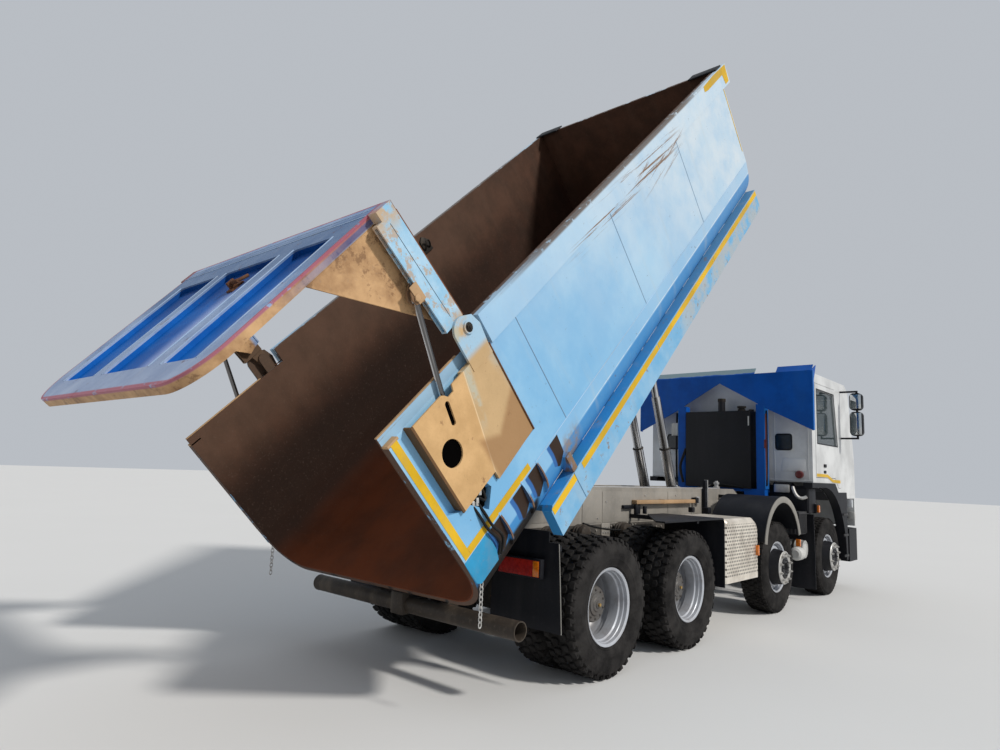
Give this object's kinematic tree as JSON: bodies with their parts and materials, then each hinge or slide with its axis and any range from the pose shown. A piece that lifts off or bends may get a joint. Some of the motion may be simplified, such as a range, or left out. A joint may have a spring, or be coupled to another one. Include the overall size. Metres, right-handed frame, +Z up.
{
  "type": "dump truck",
  "caption": "Heavy rear-tipping dump truck with a white cab, a high-sided blue bed raised on its hoist and a top-hinged tailgate swung fully open.",
  "frame": {"origin": "centre of the bounding box on the ground", "axes": "+X forward, +Y the truck's left side, +Z up"},
  "size_m": [10.6971, 3.08, 6.197],
  "materials": {
    "bed_paint": "faded sky-blue paint, dusty and scratched",
    "underframe_paint": "dusty grey-blue paint",
    "housing_paint": "dusty tan paint",
    "gate_paint": "deep blue paint, worn at the edges",
    "guard_paint": "royal blue paint",
    "cab_paint": "white paint",
    "chassis_paint": "dusty dark grey paint",
    "tank_paint": "black paint",
    "tube_paint": "grey-brown paint with rust",
    "axle_iron": "oily black",
    "rod_chrome": "polished",
    "rim_steel": "silver paint",
    "cover_aluminium": "perforated sheet, dull",
    "guard_plastic": "black",
    "grille_plastic": "dark grey",
    "lamp_lens": "red lens",
    "window": "tinted",
    "tyre": "black rubber",
    "seat_cloth": "dark cloth",
    "dash_plastic": "dark grey"
  },
  "bodies": {
    "truck": {"chassis_frame": "chassis_paint", "subframe": "chassis_paint", "underrun_bar": "tube_paint", "engine_block": "axle_iron", "front_axles": "axle_iron", "rear_axles": "axle_iron", "springs": "axle_iron", "mudguards": "guard_plastic", "silencer_cover": "cover_aluminium", "side_tanks": "cover_aluminium", "battery_box": "grille_plastic", "hydraulic_tank": "tank_paint", "cab_guard": "guard_paint", "cab_shell": "cab_paint", "cab_glass": "window", "front_bumper": "cab_paint", "grille": "grille_plastic", "lamps": "lamp_lens", "cab_steps": "guard_plastic", "mirrors": "guard_plastic", "seats": "seat_cloth", "dashboard": "dash_plastic"},
    "bed": {"bed_tub": "bed_paint", "bed_underframe": "underframe_paint", "bed_housings": "housing_paint"},
    "tailgate": {"tailgate": "gate_paint"},
    "gate_barrels": {"gate_barrels": "tank_paint"},
    "gate_rods": {"gate_rods": "rod_chrome"},
    "hoist_barrels": {"hoist_barrels": "tank_paint"},
    "hoist_stage_1": {"hoist_stage_1": "rod_chrome"},
    "hoist_stage_2": {"hoist_stage_2": "rod_chrome"},
    "hoist_stage_3": {"hoist_stage_3": "rod_chrome"},
    "hoist_stage_4": {"hoist_stage_4": "rod_chrome"},
    "knuckle_1_left": {"knuckle_1_left": "axle_iron"},
    "knuckle_1_right": {"knuckle_1_right": "axle_iron"},
    "knuckle_2_left": {"knuckle_2_left": "axle_iron"},
    "knuckle_2_right": {"knuckle_2_right": "axle_iron"},
    "wheel_1_left": {"tyre_1_left": "tyre", "rim_1_left": "rim_steel"},
    "wheel_1_right": {"tyre_1_right": "tyre", "rim_1_right": "rim_steel"},
    "wheel_2_left": {"tyre_2_left": "tyre", "rim_2_left": "rim_steel"},
    "wheel_2_right": {"tyre_2_right": "tyre", "rim_2_right": "rim_steel"},
    "wheel_3_left": {"tyre_3_left": "tyre", "rim_3_left": "rim_steel"},
    "wheel_3_right": {"tyre_3_right": "tyre", "rim_3_right": "rim_steel"},
    "wheel_4_left": {"tyre_4_left": "tyre", "rim_4_left": "rim_steel"},
    "wheel_4_right": {"tyre_4_right": "tyre", "rim_4_right": "rim_steel"},
    "door_left": {"door_left": "cab_paint", "door_glass_left": "window"},
    "door_right": {"door_right": "cab_paint", "door_glass_right": "window"}
  },
  "joints": [
    {"name": "bed_hinge", "type": "hinge", "parent": "truck", "child": "bed", "pos_m": [-2.26191, 0, 1.33961], "axis": [0, -1, 0], "range_deg": [-44, 3]},
    {"name": "gate_hinge", "type": "hinge", "parent": "bed", "child": "tailgate", "pos_m": [-3.68394, 0, 2.44365], "axis": [0, 1, 0], "range_deg": [-85, 5]},
    {"name": "gate_barrel_swing", "type": "hinge", "parent": "bed", "child": "gate_barrels", "pos_m": [-3.55222, 0, 1.40033], "axis": [0, 1, 0], "range_deg": [-0.67, 3.35]},
    {"name": "gate_rod_slide", "type": "slide", "parent": "gate_barrels", "child": "gate_rods", "axis": [-0.4244, 0, 0.9055], "range_m": [-0.564, 0.0369]},
    {"name": "hoist_swing", "type": "hinge", "parent": "truck", "child": "hoist_barrels", "pos_m": [1.1935, 0, 1.15], "axis": [0, -1, 0], "range_deg": [-21.7, 1.95]},
    {"name": "hoist_slide_1", "type": "slide", "parent": "hoist_barrels", "child": "hoist_stage_1", "axis": [-0.3596, 0, 0.9331], "range_m": [-0.6466, 0.0478]},
    {"name": "hoist_slide_2", "type": "slide", "parent": "hoist_stage_1", "child": "hoist_stage_2", "axis": [-0.3596, 0, 0.9331], "range_m": [-0.6466, 0.0478]},
    {"name": "hoist_slide_3", "type": "slide", "parent": "hoist_stage_2", "child": "hoist_stage_3", "axis": [-0.3596, 0, 0.9331], "range_m": [-0.6466, 0.0478]},
    {"name": "hoist_slide_4", "type": "slide", "parent": "hoist_stage_3", "child": "hoist_stage_4", "axis": [-0.3596, 0, 0.9331], "range_m": [-0.6466, 0.0478]},
    {"name": "steer_1_left", "type": "hinge", "parent": "truck", "child": "knuckle_1_left", "pos_m": [3.9685, 0.8, 0.54], "axis": [0, 0, 1], "range_deg": [-35, 35]},
    {"name": "steer_1_right", "type": "hinge", "parent": "truck", "child": "knuckle_1_right", "pos_m": [3.9685, -0.8, 0.54], "axis": [0, 0, 1], "range_deg": [-35, 35]},
    {"name": "steer_2_left", "type": "hinge", "parent": "truck", "child": "knuckle_2_left", "pos_m": [1.9685, 0.8, 0.54], "axis": [0, 0, 1], "range_deg": [-22, 22]},
    {"name": "steer_2_right", "type": "hinge", "parent": "truck", "child": "knuckle_2_right", "pos_m": [1.9685, -0.8, 0.54], "axis": [0, 0, 1], "range_deg": [-22, 22]},
    {"name": "spin_1_left", "type": "hinge", "parent": "knuckle_1_left", "child": "wheel_1_left", "pos_m": [3.9685, 1.01, 0.54], "axis": [0, 1, 0], "continuous": true},
    {"name": "spin_1_right", "type": "hinge", "parent": "knuckle_1_right", "child": "wheel_1_right", "pos_m": [3.9685, -1.01, 0.54], "axis": [0, 1, 0], "continuous": true},
    {"name": "spin_2_left", "type": "hinge", "parent": "knuckle_2_left", "child": "wheel_2_left", "pos_m": [1.9685, 1.01, 0.54], "axis": [0, 1, 0], "continuous": true},
    {"name": "spin_2_right", "type": "hinge", "parent": "knuckle_2_right", "child": "wheel_2_right", "pos_m": [1.9685, -1.01, 0.54], "axis": [0, 1, 0], "continuous": true},
    {"name": "spin_3_left", "type": "hinge", "parent": "truck", "child": "wheel_3_left", "pos_m": [-0.5215, 1.09, 0.54], "axis": [0, 1, 0], "continuous": true},
    {"name": "spin_3_right", "type": "hinge", "parent": "truck", "child": "wheel_3_right", "pos_m": [-0.5215, -1.09, 0.54], "axis": [0, 1, 0], "continuous": true},
    {"name": "spin_4_left", "type": "hinge", "parent": "truck", "child": "wheel_4_left", "pos_m": [-1.9015, 1.09, 0.54], "axis": [0, 1, 0], "continuous": true},
    {"name": "spin_4_right", "type": "hinge", "parent": "truck", "child": "wheel_4_right", "pos_m": [-1.9015, -1.09, 0.54], "axis": [0, 1, 0], "continuous": true},
    {"name": "door_left_hinge", "type": "hinge", "parent": "truck", "child": "door_left", "pos_m": [4.3915, 1.217, 2.2], "axis": [0, 0, -1], "range_deg": [0, 70]},
    {"name": "door_right_hinge", "type": "hinge", "parent": "truck", "child": "door_right", "pos_m": [4.3915, -1.217, 2.2], "axis": [0, 0, 1], "range_deg": [0, 70]}
  ],
  "couplings": [
    {"joint": "gate_barrel_swing", "follows": "gate_hinge", "ratio": -0.03359},
    {"joint": "gate_rod_slide", "follows": "gate_hinge", "m_per_rad": 0.37751},
    {"joint": "hoist_swing", "follows": "bed_hinge", "ratio": 0.48193},
    {"joint": "hoist_slide_1", "follows": "bed_hinge", "m_per_rad": 0.83684},
    {"joint": "hoist_slide_2", "follows": "bed_hinge", "m_per_rad": 0.83684},
    {"joint": "hoist_slide_3", "follows": "bed_hinge", "m_per_rad": 0.83684},
    {"joint": "hoist_slide_4", "follows": "bed_hinge", "m_per_rad": 0.83684},
    {"joint": "steer_1_right", "follows": "steer_1_left", "ratio": 1},
    {"joint": "steer_2_left", "follows": "steer_1_left", "ratio": 0.61},
    {"joint": "steer_2_right", "follows": "steer_1_left", "ratio": 0.61}
  ]
}
